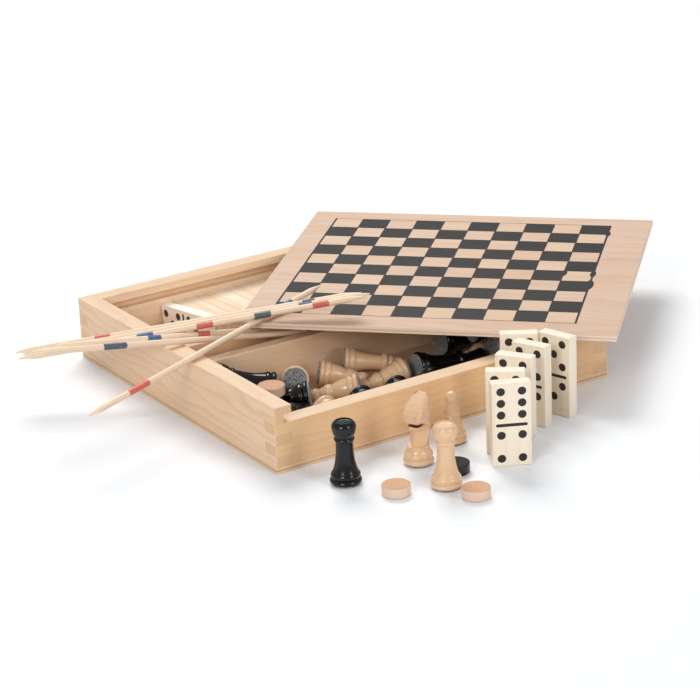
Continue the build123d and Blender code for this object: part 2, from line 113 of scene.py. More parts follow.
def newGroup(name, takes, gives):
    group = bpy.data.node_groups.new(name, "ShaderNodeTree")
    for label, kind, start in takes:
        socket = group.interface.new_socket(label, in_out="INPUT", socket_type="NodeSocket" + kind)
        if start is not None:
            socket.default_value = start
    for label, kind in gives:
        group.interface.new_socket(label, in_out="OUTPUT", socket_type="NodeSocket" + kind)
    given = group.nodes.new("NodeGroupInput").outputs
    result = group.nodes.new("NodeGroupOutput").inputs
    return group, given, result


def useGroup(tree, name, values):
    made = addNode(tree, "Group", node_tree=bpy.data.node_groups[name])
    for key, value in values.items():
        plug(tree, value, made.inputs[key])
    return made.outputs


# camera, lamps and floor

cameraLooks = {
    "location": (-0.591943, -0.942414, 0.433860),
    "right": (0.834927, -0.548875, -0.040416),
    "up": (0.227873, 0.277916, 0.933186),
    "back": (-0.500970, -0.788352, 0.357114),
    "lens": 122.67,
    "sensor": 36.0,
    "nearest": 0.05,
    "farthest": 20.0,
}

studioLooks = {
    "ambient": 0.46,  # strength of the even light from all round
    "ambientColour": (0.92, 0.96, 1.0, 1.0),
    "target": (0.0, -0.03, 0.02),  # every lamp faces this point
    "lamps": [
        # name, place, width, height, watts, colour
        ("highSoftbox", (0.36, 0.90, 1.28), 0.80, 0.80, 19.0, (1.0, 0.99, 0.975)),
        ("leftSoftbox", (-1.30, -0.85, 0.75), 0.50, 0.50, 8.4, (1.0, 0.99, 0.97)),
        ("frontStrip", (0.30, -1.35, 0.70), 0.35, 0.80, 5.0, (1.0, 1.0, 1.0)),
    ],
    "floorColour": tone(235, 236, 238),
    "floorGlow": 0.06,  # plain white added to the lit floor, for the camera
    "fadeStart": 0.20,  # from here to the fade's end the floor turns plain white
    "fadeEnd": 0.62,
    "floorSize": 5.0,
    "floorHeight": -0.0001,
}


def makeCamera(looks):
    data = bpy.data.cameras.new("camera")
    data.sensor_width = looks["sensor"]
    data.lens = looks["lens"]
    data.clip_start = looks["nearest"]
    data.clip_end = looks["farthest"]
    camera = bpy.data.objects.new("camera", data)
    axes = [Vector(looks[name]) for name in ("right", "up", "back")]
    turn = Matrix(axes).transposed().to_4x4()
    camera.matrix_world = Matrix.Translation(Vector(looks["location"])) @ turn
    scene.collection.objects.link(camera)
    scene.camera = camera


def makeWorld(looks):
    world = bpy.data.worlds.new("studio")
    scene.world = world
    world.use_nodes = True
    tree = world.node_tree
    tree.nodes.clear()
    soft = addNode(tree, "Background", {
        "Color": looks["ambientColour"], "Strength": looks["ambient"]})
    white = addNode(tree, "Background", {"Color": (1, 1, 1, 1)})
    seen = addNode(tree, "LightPath").outputs["Is Camera Ray"]
    mix = addNode(tree, "MixShader", {0: seen, 1: soft.outputs[0], 2: white.outputs[0]})
    addNode(tree, "OutputWorld", {"Surface": mix.outputs[0]})


def makeLamps(looks):
    target = Vector(looks["target"])
    for name, place, width, height, watts, colour in looks["lamps"]:
        data = bpy.data.lights.new(name, "AREA")
        data.shape = "RECTANGLE"
        data.size = width
        data.size_y = height
        data.energy = watts
        data.color = colour
        lamp = bpy.data.objects.new(name, data)
        lamp.location = place
        lamp.rotation_mode = "QUATERNION"
        lamp.rotation_quaternion = (target - Vector(place)).to_track_quat("-Z", "Y")
        scene.collection.objects.link(lamp)


def makeFloor(looks):
    half, height = looks["floorSize"] / 2, looks["floorHeight"]
    mesh = bpy.data.meshes.new("studioFloor")
    builder = bmesh.new()
    builder.faces.new([builder.verts.new((x * half, y * half, height))
                       for x, y in ((-1, -1), (1, -1), (1, 1), (-1, 1))])
    builder.to_mesh(mesh)
    builder.free()
    floor = bpy.data.objects.new("studioFloor", mesh)
    scene.collection.objects.link(floor)
    material = bpy.data.materials.new("paleFloor")
    material.use_nodes = True
    tree = material.node_tree
    tree.nodes.clear()
    seen = addNode(tree, "LightPath").outputs["Is Camera Ray"]
    paint = addNode(tree, "BsdfDiffuse", {"Color": looks["floorColour"]})
    glow = addNode(tree, "Emission", {
        "Strength": maths(tree, "MULTIPLY", seen, looks["floorGlow"])})
    near = addNode(tree, "AddShader", {0: paint.outputs[0], 1: glow.outputs[0]})
    white = addNode(tree, "Emission")
    reach = vectorMaths(tree, "LENGTH", ownPlace(tree))
    fade = rampBetween(tree, reach, looks["fadeStart"], looks["fadeEnd"])
    share = maths(tree, "MULTIPLY", seen, fade)
    mix = addNode(tree, "MixShader", {0: share, 1: near.outputs[0], 2: white.outputs[0]})
    addNode(tree, "OutputMaterial", {"Surface": mix.outputs[0]})
    mesh.materials.append(material)


makeCamera(cameraLooks)
makeWorld(studioLooks)
makeLamps(studioLooks)
makeFloor(studioLooks)
scene.view_settings.view_transform = "Standard"
print("studio: camera, lamps and floor placed")


# shared effects: all take a vector in millimetres, with X along the grain
# a noise is its scale, detail and roughness, and a range is where a mask starts and is full

grainLooks = {
    # how fast each pattern changes along the grain and across it
    "driftStretch": (0.010, 0.045, 0.045),
    "fibreStretch": (0.035, 1.9, 1.9),
    "patchStretch": (0.008, 0.05, 0.05),
    "fibreNoise": (1.0, 3.0, 0.6),
    "patchNoise": (1.0, 1.0),
    "lean": 0.55,  # how much the lines follow the third direction too
    "sharpness": 3.0,
    "lineEnd": (0.0, 0.10),  # softens each line's sharp side
    "fibreLevel": 0.42,
    "patchLevel": 0.40,
    "lineRelief": 0.6,
}

endLooks = {
    "wobbleScale": 0.12,
    "wobble": 5.0,
    "sharpness": 2.0,
    "poreNoise": (3.0, 3.0, 0.7),
    "poreShare": 0.55,
    "ringShare": 0.50,
}

plyLooks = {
    "wobbleScale": 0.5,
    "wobble": 0.10,
    "core": (0.13, 0.19),  # where the middle layer ends, as a share of the thickness
    "gritNoise": (2.2, 3.0, 0.7),
    "coreGrit": 0.9,
    "coreDepth": 0.35,
    "outerGrit": 0.18,
}

speckleLooks = {
    "noise": (1.0, 4.0, 0.75),
    "specks": (0.40, 0.62),
}

wearLooks = {
    "handlingNoise": (0.09, 3.0, 0.6),
    "handled": (0.35, 0.68),
    "dustNoise": (1.6, 4.0, 0.8),
    "dusty": (0.50, 0.75),
    "facingUp": (0.3, 1.0),
    "dustRougher": 0.3,
}


def makeWoodGrain(looks):
    group, given, result = newGroup("WoodGrain", [
        ("Vector", "Vector", None), ("Pale", "Color", None), ("Dark", "Color", None),
        ("Lines", "Float", 0.4), ("Wander", "Float", 3.0), ("Contrast", "Float", 0.5),
        ("Fibre", "Float", 0.3), ("Patches", "Float", 0.3),
    ], [("Color", "Color"), ("Height", "Float"), ("Mask", "Float")])
    place = given["Vector"]
    drift = noiseAt(group, vectorMaths(group, "MULTIPLY", place, looks["driftStretch"]))
    drift = maths(group, "SUBTRACT", drift, 0.5)
    axes = splitAxes(group, place)
    across = maths(group, "MULTIPLY_ADD", axes["Z"], looks["lean"], axes["Y"])
    count = maths(group, "MULTIPLY", across, given["Lines"])
    count = maths(group, "MULTIPLY_ADD", drift, given["Wander"], count)
    ring = maths(group, "FRACT", count)
    late = maths(group, "POWER", ring, looks["sharpness"])
    shut = rampBetween(group, maths(group, "SUBTRACT", 1.0, ring), *looks["lineEnd"])
    late = maths(group, "MULTIPLY", late, shut)
    streak = vectorMaths(group, "MULTIPLY", place, looks["fibreStretch"])
    fibre = noiseAt(group, streak, *looks["fibreNoise"])
    broad = vectorMaths(group, "MULTIPLY", place, looks["patchStretch"])
    patch = noiseAt(group, broad, *looks["patchNoise"])
    mask = maths(group, "MULTIPLY", late, given["Contrast"])
    above = maths(group, "SUBTRACT", fibre, looks["fibreLevel"])
    mask = maths(group, "MULTIPLY_ADD", above, given["Fibre"], mask)
    above = maths(group, "SUBTRACT", patch, looks["patchLevel"])
    mask = maths(group, "MULTIPLY_ADD", above, given["Patches"], mask, clamp=True)
    plug(group, mixColours(group, mask, given["Pale"], given["Dark"]), result["Color"])
    height = maths(group, "MULTIPLY_ADD", late, looks["lineRelief"], fibre)
    plug(group, height, result["Height"])
    plug(group, mask, result["Mask"])


def makeEndGrain(looks):
    group, given, result = newGroup("EndGrain", [
        ("Vector", "Vector", None), ("Pale", "Color", None), ("Dark", "Color", None),
        ("Ring Gap", "Float", 1.6), ("Pith Y", "Float", -30.0), ("Pith Z", "Float", -18.0),
    ], [("Color", "Color")])
    place = given["Vector"]
    axes = splitAxes(group, place)
    sideways = maths(group, "SUBTRACT", axes["Y"], given["Pith Y"])
    upwards = maths(group, "SUBTRACT", axes["Z"], given["Pith Z"])
    squares = maths(group, "ADD", maths(group, "MULTIPLY", sideways, sideways),
                    maths(group, "MULTIPLY", upwards, upwards))
    reach = maths(group, "SQRT", squares)
    wobble = noiseAt(group, place, looks["wobbleScale"])
    reach = maths(group, "MULTIPLY_ADD", wobble, looks["wobble"], reach)
    ring = maths(group, "FRACT", maths(group, "DIVIDE", reach, given["Ring Gap"]))
    ring = maths(group, "POWER", ring, looks["sharpness"])
    pores = noiseAt(group, place, *looks["poreNoise"])
    mask = maths(group, "MULTIPLY", ring, looks["ringShare"])
    mask = maths(group, "MULTIPLY_ADD", pores, looks["poreShare"], mask)
    plug(group, mixColours(group, mask, given["Pale"], given["Dark"]), result["Color"])


def makePlyEdge(looks):
    group, given, result = newGroup("PlyEdge", [
        ("Vector", "Vector", None), ("Thickness", "Float", 3.0),
        ("Pale", "Color", None), ("Dark", "Color", None),
    ], [("Color", "Color")])
    place = given["Vector"]
    wobble = maths(group, "SUBTRACT", noiseAt(group, place, looks["wobbleScale"]), 0.5)
    level = maths(group, "DIVIDE", splitAxes(group, place)["Z"], given["Thickness"])
    level = maths(group, "MULTIPLY_ADD", wobble, looks["wobble"], level)
    off = maths(group, "ABSOLUTE", maths(group, "SUBTRACT", level, 0.5))
    core = maths(group, "SUBTRACT", 1.0, rampBetween(group, off, *looks["core"]))
    grit = noiseAt(group, place, *looks["gritNoise"])
    depth = maths(group, "MULTIPLY_ADD", grit, looks["coreGrit"], looks["coreDepth"])
    mask = maths(group, "MULTIPLY", core, depth)
    mask = maths(group, "MULTIPLY_ADD", grit, looks["outerGrit"], mask)
    plug(group, mixColours(group, mask, given["Pale"], given["Dark"]), result["Color"])


def makeSpeckle(looks):
    group, given, result = newGroup("Speckle", [
        ("Vector", "Vector", None), ("Pale", "Color", None), ("Dark", "Color", None),
        ("Grain Size", "Float", 0.5), ("Amount", "Float", 0.5),
    ], [("Color", "Color"), ("Height", "Float"), ("Mask", "Float")])
    scale = maths(group, "DIVIDE", 1.0, given["Grain Size"])
    small = addNode(group, "VectorMath", {0: given["Vector"], "Scale": scale}, operation="SCALE")
    fuzz = noiseAt(group, small.outputs[0], *looks["noise"])
    mask = maths(group, "MULTIPLY", rampBetween(group, fuzz, *looks["specks"]), given["Amount"])
    plug(group, mixColours(group, mask, given["Pale"], given["Dark"]), result["Color"])
    plug(group, fuzz, result["Height"])
    plug(group, mask, result["Mask"])


def makeFinishWear(looks):
    # slow change of gloss from handling, with a little dust on what faces up
    group, given, result = newGroup("FinishWear", [
        ("Vector", "Vector", None), ("Up", "Float", 0.0), ("Smooth", "Float", 0.3),
        ("Worn", "Float", 0.5), ("Dust", "Float", 0.0),
    ], [("Roughness", "Float"), ("Dust", "Float")])
    slow = noiseAt(group, given["Vector"], *looks["handlingNoise"])
    rubbed = rampBetween(group, slow, *looks["handled"])
    span = maths(group, "SUBTRACT", given["Worn"], given["Smooth"])
    rough = maths(group, "MULTIPLY_ADD", rubbed, span, given["Smooth"])
    specks = noiseAt(group, given["Vector"], *looks["dustNoise"])
    specks = rampBetween(group, specks, *looks["dusty"])
    facing = rampBetween(group, given["Up"], *looks["facingUp"])
    dust = maths(group, "MULTIPLY", maths(group, "MULTIPLY", specks, facing), given["Dust"])
    rough = maths(group, "MULTIPLY_ADD", dust, looks["dustRougher"], rough)
    plug(group, rough, result["Roughness"])
    plug(group, dust, result["Dust"])


makeWoodGrain(grainLooks)
makeEndGrain(endLooks)
makePlyEdge(plyLooks)
makeSpeckle(speckleLooks)
makeFinishWear(wearLooks)
print("shared effects: wood grain, end grain, ply edge, speckle, finish wear")


# material helpers: relief is a depth in metres and a strength

def newMaterial(name):
    material = bpy.data.materials.new(name)
    material.use_nodes = True
    tree = material.node_tree
    tree.nodes.clear()
    shader = addNode(tree, "BsdfPrincipled")
    addNode(tree, "OutputMaterial", {"Surface": shader.outputs[0]})
    return material, tree, shader


def grainSpace(tree, along, across, centre=(0, 0, 0), shift=(0, 0, 0)):
    # millimetres from a centre, with X along the grain and Y across it
    x = Vector(along).normalized()
    z = x.cross(Vector(across)).normalized()
    y = z.cross(x)
    turn = Matrix((x, y, z))
    moved = -(turn @ Vector(centre)) * perMetre + Vector(shift)
    mapped = addNode(tree, "Mapping", {
        "Vector": ownPlace(tree), "Location": moved, "Rotation": turn.to_euler(),
        "Scale": (perMetre, perMetre, perMetre)})
    return mapped.outputs["Vector"]


def normalAlong(tree, direction):
    facing = addNode(tree, "TexCoord").outputs["Normal"]
    return vectorMaths(tree, "DOT_PRODUCT", facing, direction)


def woodGrain(tree, place, looks):
    values = {"Vector": place}
    for name in ("pale", "dark", "lines", "wander", "contrast", "fibre", "patches"):
        values[name.capitalize()] = looks[name]
    return useGroup(tree, "WoodGrain", values)


def addWear(tree, shader, place, looks):
    wear = useGroup(tree, "FinishWear", {
        "Vector": place, "Up": normalAlong(tree, upward), "Smooth": looks["smooth"],
        "Worn": looks["worn"], "Dust": looks["dust"]})
    plug(tree, wear["Roughness"], shader.inputs["Roughness"])
    shader.inputs["Specular IOR Level"].default_value = looks["gloss"]
    return wear


def bumpInto(tree, shader, height, distance, strength):
    bump = addNode(tree, "Bump", {"Height": height, "Distance": distance, "Strength": strength})
    plug(tree, bump.outputs["Normal"], shader.inputs["Normal"])


def plainWood(tree, shader, place, looks):
    grain = woodGrain(tree, place, looks)
    plug(tree, grain["Color"], shader.inputs["Base Color"])
    addWear(tree, shader, place, looks)
    bumpInto(tree, shader, grain["Height"], *looks["relief"])


def dress(material, *names):
    for name in names:
        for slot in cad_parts[name].material_slots:
            slot.material = material


# the case's planed pine

pineLooks = {
    "pale": tone(237, 204, 170),
    "dark": tone(214, 164, 120),
    "litTopPale": tone(228, 198, 165),  # a wall's top is painted paler, as painted light falling from above
    "litTopDark": tone(214, 172, 134),
    "endPale": tone(232, 194, 154),
    "endDark": tone(212, 166, 122),
    "lines": 0.20,
    "wander": 5.5,
    "contrast": 0.50,
    "fibre": 0.45,
    "patches": 0.65,
    "endFaces": (0.55, 0.80),
    "litTopFaces": (0.7, 0.95),
    "smooth": 0.36,
    "worn": 0.52,
    "dust": 0.0,
    "gloss": 0.35,
    "relief": (0.00007, 0.6),
    # material, direction of the grain, place in the log, own values
    "boards": {
        "left_wall": ("pineLeftWall", (0, 1, 0), (40, 3, 0), {}),
        "right_wall": ("pineRightWall", (0, 1, 0), (-310, 9, 0), {}),
        "front_wall": ("pineFrontWall", (1, 0, 0), (520, 14, 0), {
            "pale": tone(236, 196, 150), "dark": tone(214, 162, 114),
            "contrast": 0.35, "patches": 0.4}),
        # painted light: the back wall's wood is painted paler than the other walls, standing in
        # for light on its shaded inner face
        "back_wall": ("pineBackWall", (1, 0, 0), (-90, 22, 0), {
            "pale": tone(250, 222, 190), "dark": tone(238, 192, 150)}),
        "divider_front": ("pineFrontDivider", (1, 0, 0), (250, 7, 0), {"contrast": 0.2}),
        "divider_back": ("pineBackDivider", (1, 0, 0), (-200, 5, 0), {"contrast": 0.3}),
    },
}


def pineMaterial(name, along, shift, looks):
    material, tree, shader = newMaterial(name)
    place = grainSpace(tree, along, upward, shift=shift)
    grain = woodGrain(tree, place, looks)
    ends = useGroup(tree, "EndGrain", {
        "Vector": place, "Pale": looks["endPale"], "Dark": looks["endDark"]})
    endwise = maths(tree, "ABSOLUTE", normalAlong(tree, along))
    endFace = rampBetween(tree, endwise, *looks["endFaces"])
    colour = mixColours(tree, endFace, grain["Color"], ends["Color"])
    # painted light: the walls' upward faces are painted paler, where light falls from above
    top = rampBetween(tree, normalAlong(tree, upward), *looks["litTopFaces"])
    paintedTopLight = mixColours(tree, grain["Mask"], looks["litTopPale"], looks["litTopDark"])
    plug(tree, mixColours(tree, top, colour, paintedTopLight), shader.inputs["Base Color"])
    addWear(tree, shader, place, looks)
    bumpInto(tree, shader, grain["Height"], *looks["relief"])
    return material


for node, (name, along, shift, own) in pineLooks["boards"].items():
    dress(pineMaterial(name, along, shift, {**pineLooks, **own}), node)
print("case: pine walls and dividers")


# birch plywood: the lid with its printed board, and the case's base

lidLooks = {
    "centre": (0.07186, 0.00524, 0.032),
    "along": (0.700, -0.714, 0.0),
    "down": (-0.714, -0.700, 0.0),
    "halfBoard": 75.0,
    "square": 15.0,
    "sideLine": 1.1,
    "endLine": 0.35,
    "pale": tone(214, 184, 160),
    "dark": tone(189, 149, 122),
    "lines": 0.12,
    "wander": 4.5,
    "contrast": 0.35,
    "fibre": 0.55,
    "patches": 0.75,
    "thickness": 3.0,
    "levelFaces": (0.35, 0.60),
    "printedFaces": 0.7,
    "edgePale": tone(238, 218, 198),
    "edgeDark": tone(220, 186, 158),
    "ink": {
        "pale": tone(24, 20, 18),
        "dark": tone(58, 49, 43),
        "lines": 0.5,
        "wander": 2.0,
        "contrast": 0.25,
        "fibre": 0.9,
        "patches": 0.5,
    },
    "inkSmoother": -0.06,
    "inkSpread": 0.35,  # how far the squares' ink runs past their edges
    "frayNoise": (0.9, 3.0, 0.7),
    "fray": 0.5,  # how ragged the ink's edges are
    # ink that ran further: place along and down the board, and reach
    "blots": ((74.9, 3.6, 1.5), (74.8, 20.0, 2.3), (60.2, 3.0, 1.5), (75.2, -61.0, 1.3)),
    "blotSquash": 0.32,  # a blot is longer down the board than across it
    "cellTint": tone(232, 208, 168),  # some of the pale squares are yellower
    "cellTintShare": 0.2,
    "smooth": 0.42,
    "worn": 0.56,
    "dust": 0.0,
    "gloss": 0.20,
    "relief": (0.00005, 0.5),
}

baseLooks = {
    "shift": (700, 30, 0),
    "pale": lidLooks["pale"],
    "dark": lidLooks["dark"],
    "lines": 0.10,
    "wander": 4.0,
    "contrast": 0.35,
    "fibre": 0.5,
    "patches": 0.6,
    "thickness": 3.0,
    "levelFaces": (0.35, 0.60),
    "edgePale": tone(236, 206, 170),
    "edgeDark": tone(206, 162, 120),
    "smooth": 0.5,
    "worn": 0.65,
    "dust": 0.1,
    "gloss": 0.3,
    "relief": (0.00006, 0.6),
}


def printedLine(tree, off, reach, half, width, length):
    # a line at the board's edge, no further along it than its length
    beside = maths(tree, "ABSOLUTE", maths(tree, "SUBTRACT", off, half))
    return maths(tree, "MULTIPLY", maths(tree, "LESS_THAN", beside, width / 2),
                 maths(tree, "LESS_THAN", reach, length))


def printedBoard(tree, place, looks):
    # where the ink and the board are, and a number for each square
    half, square, squash = looks["halfBoard"], looks["square"], looks["blotSquash"]
    axes = splitAxes(tree, place)
    ragged = maths(tree, "SUBTRACT", noiseAt(tree, place, *looks["frayNoise"]), 0.5)
    ragged = maths(tree, "MULTIPLY", ragged, looks["fray"])
    along = maths(tree, "ADD", axes["X"], ragged)
    down = maths(tree, "SUBTRACT", ragged, axes["Y"])
    counts, onEdge = [], []
    for value in (along, down):
        start = maths(tree, "ADD", value, half)
        counts.append(maths(tree, "FLOOR", maths(tree, "DIVIDE", start, square)))
        into = maths(tree, "FLOORED_MODULO", start, square)
        off = maths(tree, "ABSOLUTE", maths(tree, "SUBTRACT", into, square / 2))
        onEdge.append(maths(tree, "GREATER_THAN", off, square / 2 - looks["inkSpread"]))
    odd = maths(tree, "FLOORED_MODULO", maths(tree, "ADD", *counts), 2.0)
    offSide = maths(tree, "ABSOLUTE", along)
    offEnd = maths(tree, "ABSOLUTE", down)
    inside = maths(tree, "MULTIPLY", maths(tree, "LESS_THAN", offSide, half),
                   maths(tree, "LESS_THAN", offEnd, half))
    ink = maths(tree, "MAXIMUM", odd, maths(tree, "MAXIMUM", *onEdge))
    ink = maths(tree, "MULTIPLY", ink, inside)
    flat = vectorMaths(tree, "MULTIPLY", place, (1, squash, 0))
    for blotAlong, blotDown, reach in looks["blots"]:
        toBlot = vectorMaths(tree, "DISTANCE", flat, (blotAlong, -blotDown * squash, 0))
        ink = maths(tree, "MAXIMUM", ink, maths(tree, "LESS_THAN", toBlot, reach))
    side, end = looks["sideLine"], looks["endLine"]
    sideLine = printedLine(tree, offSide, offEnd, half, side, half + end)
    endLine = printedLine(tree, offEnd, offSide, half, end, half)
    ink = maths(tree, "MAXIMUM", ink, maths(tree, "MAXIMUM", sideLine, endLine))
    cell = addNode(tree, "CombineXYZ", {0: counts[0], 1: counts[1]}).outputs[0]
    return ink, inside, cell


def plyColour(tree, place, face, looks):
    # the layers show on every side that stands upright
    edge = useGroup(tree, "PlyEdge", {
        "Vector": place, "Thickness": looks["thickness"],
        "Pale": looks["edgePale"], "Dark": looks["edgeDark"]})
    level = maths(tree, "ABSOLUTE", normalAlong(tree, upward))
    upright = maths(tree, "SUBTRACT", 1.0, rampBetween(tree, level, *looks["levelFaces"]))
    return mixColours(tree, upright, face, edge["Color"])


def lidMaterial(looks):
    material, tree, shader = newMaterial("birchLid")
    place = grainSpace(tree, looks["along"], -Vector(looks["down"]), looks["centre"])
    grain = woodGrain(tree, place, looks)
    ink, inside, cell = printedBoard(tree, place, looks)
    onTop = maths(tree, "GREATER_THAN", normalAlong(tree, upward), looks["printedFaces"])
    ink = maths(tree, "MULTIPLY", ink, onTop)
    printed = woodGrain(tree, place, looks["ink"])
    chance = addNode(tree, "TexWhiteNoise", {"Vector": cell}, noise_dimensions="2D")
    tint = maths(tree, "MULTIPLY", inside, looks["cellTintShare"])
    tint = maths(tree, "MULTIPLY", chance.outputs["Value"], tint)
    face = mixColours(tree, tint, grain["Color"], looks["cellTint"])
    face = mixColours(tree, ink, face, printed["Color"])
    plug(tree, plyColour(tree, place, face, looks), shader.inputs["Base Color"])
    wear = addWear(tree, shader, place, looks)
    rough = maths(tree, "MULTIPLY_ADD", ink, looks["inkSmoother"], wear["Roughness"])
    plug(tree, rough, shader.inputs["Roughness"])
    bumpInto(tree, shader, grain["Height"], *looks["relief"])
    return material


def baseMaterial(looks):
    material, tree, shader = newMaterial("birchBase")
    place = grainSpace(tree, (1, 0, 0), (0, 1, 0), shift=looks["shift"])
    grain = woodGrain(tree, place, looks)
    plug(tree, plyColour(tree, place, grain["Color"], looks), shader.inputs["Base Color"])
    addWear(tree, shader, place, looks)
    bumpInto(tree, shader, grain["Height"], *looks["relief"])
    return material


dress(lidMaterial(lidLooks), "sliding_lid")
dress(baseMaterial(baseLooks), "base_panel")
print("plywood: lid with printed board, base")


# turned pieces

lightLooks = {
    "pale": tone(232, 193, 152),
    "dark": tone(204, 154, 110),
    "cutShadePale": tone(136, 76, 50),  # painted shade in the knight's cuts
    "cutShadeDark": tone(84, 42, 28),
    "lines": 0.40,
    "wander": 3.0,
    "contrast": 0.16,
    "pawnContrast": 0.3,
    "fibre": 0.32,
    "patches": 0.7,
    "smooth": 0.26,
    "worn": 0.42,
    "dust": 0.0,
    "gloss": 0.5,
    "coat": 0.6,
    "coatRoughness": 0.12,
    "relief": (0.00004, 0.5),
}


def lightMaterial(name, along, across, shift, looks):
    material, tree, shader = newMaterial(name)
    place = grainSpace(tree, along, across, shift=shift)
    plainWood(tree, shader, place, looks)
    shader.inputs["Coat Weight"].default_value = looks["coat"]
    shader.inputs["Coat Roughness"].default_value = looks["coatRoughness"]
    return material


pawnLooks = {**lightLooks, "contrast": lightLooks["pawnContrast"]}
cutShadeLooks = {**lightLooks, "pale": lightLooks["cutShadePale"], "dark": lightLooks["cutShadeDark"]}
standingWood = lightMaterial("lacqueredStanding", upward, (1, 0.4, 0), (12, 5, 0), lightLooks)
dress(standingWood, "light_rook", "light_pawn", "light_knight")
dress(lightMaterial("lacqueredRows", (1, 0, 0), upward, (0, 3, 9), lightLooks),
      "bay_light_king", "bay_light_queen", "bay_light_rook", "bay_light_bishops",
      "bay_light_knight")
dress(lightMaterial("lacqueredPawns", (0.8, 0.5, 0.2), upward, (90, 30, 4), pawnLooks),
      "bay_light_pawns")

# the standing knight's carved head

knightLooks = {
    "heading": -156.0,  # where the nose points, in degrees
    "neck": 9.3,  # the head starts here, in millimetres above the floor
    "footOverlap": 0.1,  # how far the foot reaches into the head
    # height, how far the front and the back stand out, half widths at front, middle and back
    "levels": (
        (9.3, 4.6, -5.0, 1.2, 4.4, 2.6),
        (12.0, 4.0, -5.8, 0.8, 4.7, 2.6),
        (15.0, 2.9, -6.2, 1.2, 4.9, 2.6),
        (17.4, 1.9, -6.3, 2.4, 5.0, 2.6),
        (17.8, 4.3, -6.3, 2.6, 5.0, 2.6),
        (19.2, 4.8, -6.3, 2.9, 5.0, 2.6),
        (19.4, 1.0, -6.3, 3.0, 5.0, 2.6),
        (20.9, 1.0, -6.3, 3.3, 5.0, 2.6),
        (21.1, 5.5, -6.3, 3.6, 5.0, 2.6),
        (22.8, 6.1, -6.3, 4.4, 5.0, 2.6),
        (25.0, 5.6, -6.2, 4.7, 5.0, 2.6),
        (27.4, 4.0, -6.1, 4.7, 4.9, 2.6),
        (29.6, 1.6, -6.0, 4.2, 4.6, 2.5),
        (31.4, -1.0, -5.8, 3.6, 3.9, 2.4),
        (32.9, -3.4, -5.4, 2.2, 2.3, 1.7),
    ),
    "shadedCutLevels": (5, 6, 7),  # the mouth's cut is painted dark as painted shade, counted from the lowest level
    "edge": 0.8,  # the sawn corners are eased by this much, or by half of a narrow front
    "nape": (1.5, 1.0),  # the bend before the back: how far forwards and outwards
    # how far out, height, radius of each eye and nostril
    "eyes": ((2.5, 26.3, 1.05), (2.0, 23.6, 0.80)),
    "eyeProud": 0.15,
    "eyeStretch": (1.2, 0.75),  # sideways and upwards
    "eyeRings": ((1.25, -0.5), (1.0, 0.35), (0.7, 0.30), (0.45, -0.15)),  # reach and rise
    "eyeSides": 14,
}


def addHead(builder, looks):
    loops = []
    forwards, outwards = looks["nape"]
    for height, front, back, wide, middle, narrow in looks["levels"]:
        ease = min(looks["edge"], wide / 2)
        half = [(front, wide - ease), (front - ease, wide), ((front + back) / 2, middle),
                (back + forwards, narrow + outwards), (back, narrow)]
        ring = half + [(u, -v) for u, v in reversed(half)]
        loops.append([builder.verts.new((u, v, height)) for u, v in ring])
    for number, (below, above) in enumerate(zip(loops, loops[1:])):
        last = len(below) - 1
        for k in range(len(below)):
            after = (k + 1) % len(below)
            side = builder.faces.new((below[k], below[after], above[after], above[k]))
            inFront = k in (0, last, last - 1) or after in (0, last)
            # the mouth's cut takes the second material, painted shade
            side.material_index = 1 if number in looks["shadedCutLevels"] and inFront else 0
    builder.faces.new(loops[-1])
    builder.faces.new(list(reversed(loops[0])))


def addEyes(builder, looks):
    # carved almonds: a raised lid around a sunken middle
    sides = looks["eyeSides"]
    angles = [2 * pi * k / sides for k in range(sides)]
    wider, higher = looks["eyeStretch"]
    for side in (1, -1):
        for out, height, radius in looks["eyes"]:
            level = next(row for row in looks["levels"] if row[0] > height)
            front = level[1] + looks["eyeProud"]
            rings = []
            for reach, rise in looks["eyeRings"]:
                rings.append([builder.verts.new((
                    front + rise, side * out + radius * reach * wider * cos(a),
                    height + radius * reach * higher * sin(a))) for a in angles])
            for inner, outer in zip(rings[1:], rings):
                for k in range(sides):
                    after = (k + 1) % sides
                    builder.faces.new((outer[k], outer[after], inner[after], inner[k]))
            # the eyes' sunken middles are painted dark too, as painted shade
            builder.faces.new(rings[-1]).material_index = 1


def addFoot(builder, node, top):
    # the turned foot stays as it is in the solid model, cut off at the neck
    foot = bmesh.new()
    foot.from_mesh(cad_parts[node].data)
    bmesh.ops.remove_doubles(foot, verts=foot.verts, dist=1e-7)
    everything = foot.verts[:] + foot.edges[:] + foot.faces[:]
    cut = bmesh.ops.bisect_plane(foot, geom=everything, dist=1e-6, plane_co=(0, 0, top),
                                 plane_no=upward, clear_outer=True)
    rim = [edge for edge in cut["geom_cut"] if isinstance(edge, bmesh.types.BMEdge)]
    bmesh.ops.edgeloop_fill(foot, edges=rim)
    for face in foot.faces:
        face.material_index = 0
    piece = bpy.data.meshes.new(node + "Foot")
    foot.to_mesh(piece)
    foot.free()
    builder.from_mesh(piece)
    bpy.data.meshes.remove(piece)


def makeKnight(looks, node="light_knight"):
    low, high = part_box(node)
    middle = (low + high) / 2
    builder = bmesh.new()
    addHead(builder, looks)
    addEyes(builder, looks)
    turn = Matrix.Rotation(radians(looks["heading"]), 4, "Z") @ Matrix.Scale(1 / perMetre, 4)
    builder.transform(Matrix.Translation((middle.x, middle.y, 0)) @ turn)
    bmesh.ops.recalc_face_normals(builder, faces=builder.faces)
    addFoot(builder, node, (looks["neck"] + looks["footOverlap"]) / perMetre)
    mesh = bpy.data.meshes.new(node + "_carved")
    builder.to_mesh(mesh)
    builder.free()
    return mesh


knightMesh = makeKnight(knightLooks)
knight = bpy.data.objects.new("light_knight_carved", knightMesh)
scene.collection.objects.link(knight)
knightMesh.materials.append(standingWood)
# the second material is painted shade for the mouth's cut and the eyes' middles
knightMesh.materials.append(
    lightMaterial("paintedCutShade", upward, (1, 0.4, 0), (40, 9, 0), cutShadeLooks))
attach(knight, "light_knight_body")
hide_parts("light_knight")

